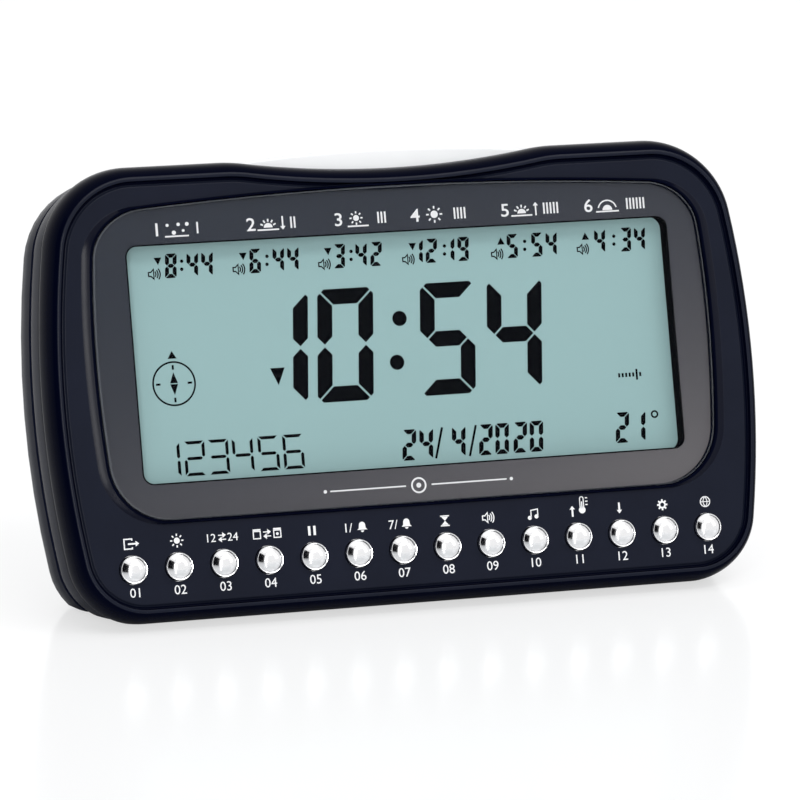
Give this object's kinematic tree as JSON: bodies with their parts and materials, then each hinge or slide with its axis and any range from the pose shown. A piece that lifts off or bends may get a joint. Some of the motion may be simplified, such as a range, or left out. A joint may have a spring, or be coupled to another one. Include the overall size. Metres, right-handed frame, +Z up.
{
  "type": "azan clock",
  "caption": "Leaning table prayer clock: glossy dark case, wide segment display behind a clear lens, a row of domed buttons, snooze bar on top.",
  "frame": {"origin": "centre of the footprint on the surface it stands on, under the feet", "axes": "+X along the clock's width to the right seen from the front, front faces -Y, +Z up"},
  "size_m": [0.1766, 0.0612, 0.1053],
  "materials": {
    "navy_gloss": "glossy navy-black moulding",
    "clear_acrylic": "polished clear acrylic",
    "grey_print": "grey print on film",
    "lcd_glass": "grey-teal display glass with dark segments",
    "white_plastic": "satin",
    "diffuser": "satin translucent",
    "silicone": "matte silicone",
    "board_green": "solder mask",
    "component_black": "matte",
    "board_tan": "bare laminate",
    "ribbon": "satin",
    "zinc_steel": "zinc plated",
    "bar_white": "glossy pale",
    "spring_steel": "drawn wire",
    "nickel": "nickel plated",
    "speaker_steel": "stamped",
    "cone_paper": "coated paper",
    "cell_jacket": "satin jacket",
    "foot_rubber": "matte",
    "button_chrome": "chrome plated plastic"
  },
  "bodies": {
    "case": {"front_case": "navy_gloss", "rear_case": "navy_gloss", "display_lens": "clear_acrylic", "lens_mask": "grey_print", "lcd_panel": "lcd_glass", "lcd_frame": "white_plastic", "backlight_diffuser": "diffuser", "zebra_strips": "silicone", "main_board": "board_green", "board_parts": "component_black", "snooze_switch": "component_black", "temperature_sensor": "component_black", "keypad_board": "board_tan", "keypad_mat": "silicone", "ribbon_cable": "ribbon", "board_screws": "zinc_steel", "keypad_screws": "zinc_steel", "case_screws": "zinc_steel", "snooze_springs": "spring_steel", "speaker_frame": "speaker_steel", "speaker_cone": "cone_paper", "speaker_clamp": "component_black", "speaker_screws": "zinc_steel", "battery_springs": "nickel", "battery_plates": "nickel", "battery_cells": "cell_jacket", "rubber_feet": "foot_rubber"},
    "snooze_bar": {"snooze_bar": "bar_white"},
    "battery_door": {"battery_door": "navy_gloss"},
    "button_01": {"button_01": "button_chrome"},
    "button_02": {"button_02": "button_chrome"},
    "button_03": {"button_03": "button_chrome"},
    "button_04": {"button_04": "button_chrome"},
    "button_05": {"button_05": "button_chrome"},
    "button_06": {"button_06": "button_chrome"},
    "button_07": {"button_07": "button_chrome"},
    "button_08": {"button_08": "button_chrome"},
    "button_09": {"button_09": "button_chrome"},
    "button_10": {"button_10": "button_chrome"},
    "button_11": {"button_11": "button_chrome"},
    "button_12": {"button_12": "button_chrome"},
    "button_13": {"button_13": "button_chrome"},
    "button_14": {"button_14": "button_chrome"}
  },
  "joints": [
    {"name": "button_01_press", "type": "slide", "parent": "case", "child": "button_01", "axis": [0, 0.9641, -0.2656], "range_m": [0, 0.0008], "stiffness_N_per_m": 400, "springref_m": -0.0006, "deforming": ["keypad_mat"]},
    {"name": "button_02_press", "type": "slide", "parent": "case", "child": "button_02", "axis": [0, 0.9641, -0.2656], "range_m": [0, 0.0008], "stiffness_N_per_m": 400, "springref_m": -0.0006, "deforming": ["keypad_mat"]},
    {"name": "button_03_press", "type": "slide", "parent": "case", "child": "button_03", "axis": [0, 0.9641, -0.2656], "range_m": [0, 0.0008], "stiffness_N_per_m": 400, "springref_m": -0.0006, "deforming": ["keypad_mat"]},
    {"name": "button_04_press", "type": "slide", "parent": "case", "child": "button_04", "axis": [0, 0.9641, -0.2656], "range_m": [0, 0.0008], "stiffness_N_per_m": 400, "springref_m": -0.0006, "deforming": ["keypad_mat"]},
    {"name": "button_05_press", "type": "slide", "parent": "case", "child": "button_05", "axis": [0, 0.9641, -0.2656], "range_m": [0, 0.0008], "stiffness_N_per_m": 400, "springref_m": -0.0006, "deforming": ["keypad_mat"]},
    {"name": "button_06_press", "type": "slide", "parent": "case", "child": "button_06", "axis": [0, 0.9641, -0.2656], "range_m": [0, 0.0008], "stiffness_N_per_m": 400, "springref_m": -0.0006, "deforming": ["keypad_mat"]},
    {"name": "button_07_press", "type": "slide", "parent": "case", "child": "button_07", "axis": [0, 0.9641, -0.2656], "range_m": [0, 0.0008], "stiffness_N_per_m": 400, "springref_m": -0.0006, "deforming": ["keypad_mat"]},
    {"name": "button_08_press", "type": "slide", "parent": "case", "child": "button_08", "axis": [0, 0.9641, -0.2656], "range_m": [0, 0.0008], "stiffness_N_per_m": 400, "springref_m": -0.0006, "deforming": ["keypad_mat"]},
    {"name": "button_09_press", "type": "slide", "parent": "case", "child": "button_09", "axis": [0, 0.9641, -0.2656], "range_m": [0, 0.0008], "stiffness_N_per_m": 400, "springref_m": -0.0006, "deforming": ["keypad_mat"]},
    {"name": "button_10_press", "type": "slide", "parent": "case", "child": "button_10", "axis": [0, 0.9641, -0.2656], "range_m": [0, 0.0008], "stiffness_N_per_m": 400, "springref_m": -0.0006, "deforming": ["keypad_mat"]},
    {"name": "button_11_press", "type": "slide", "parent": "case", "child": "button_11", "axis": [0, 0.9641, -0.2656], "range_m": [0, 0.0008], "stiffness_N_per_m": 400, "springref_m": -0.0006, "deforming": ["keypad_mat"]},
    {"name": "button_12_press", "type": "slide", "parent": "case", "child": "button_12", "axis": [0, 0.9641, -0.2656], "range_m": [0, 0.0008], "stiffness_N_per_m": 400, "springref_m": -0.0006, "deforming": ["keypad_mat"]},
    {"name": "button_13_press", "type": "slide", "parent": "case", "child": "button_13", "axis": [0, 0.9641, -0.2656], "range_m": [0, 0.0008], "stiffness_N_per_m": 400, "springref_m": -0.0006, "deforming": ["keypad_mat"]},
    {"name": "button_14_press", "type": "slide", "parent": "case", "child": "button_14", "axis": [0, 0.9641, -0.2656], "range_m": [0, 0.0008], "stiffness_N_per_m": 400, "springref_m": -0.0006, "deforming": ["keypad_mat"]},
    {"name": "snooze_press", "type": "slide", "parent": "case", "child": "snooze_bar", "axis": [0, -0.2656, -0.9641], "range_m": [0, 0.0012], "stiffness_N_per_m": 600, "springref_m": -0.0008, "deforming": ["snooze_springs"]},
    {"name": "battery_door_swing", "type": "hinge", "parent": "case", "child": "battery_door", "pos_m": [0.0275, 0.02831, 0.05067], "axis": [1, 0, 0], "range_deg": [0, 95]}
  ]
}
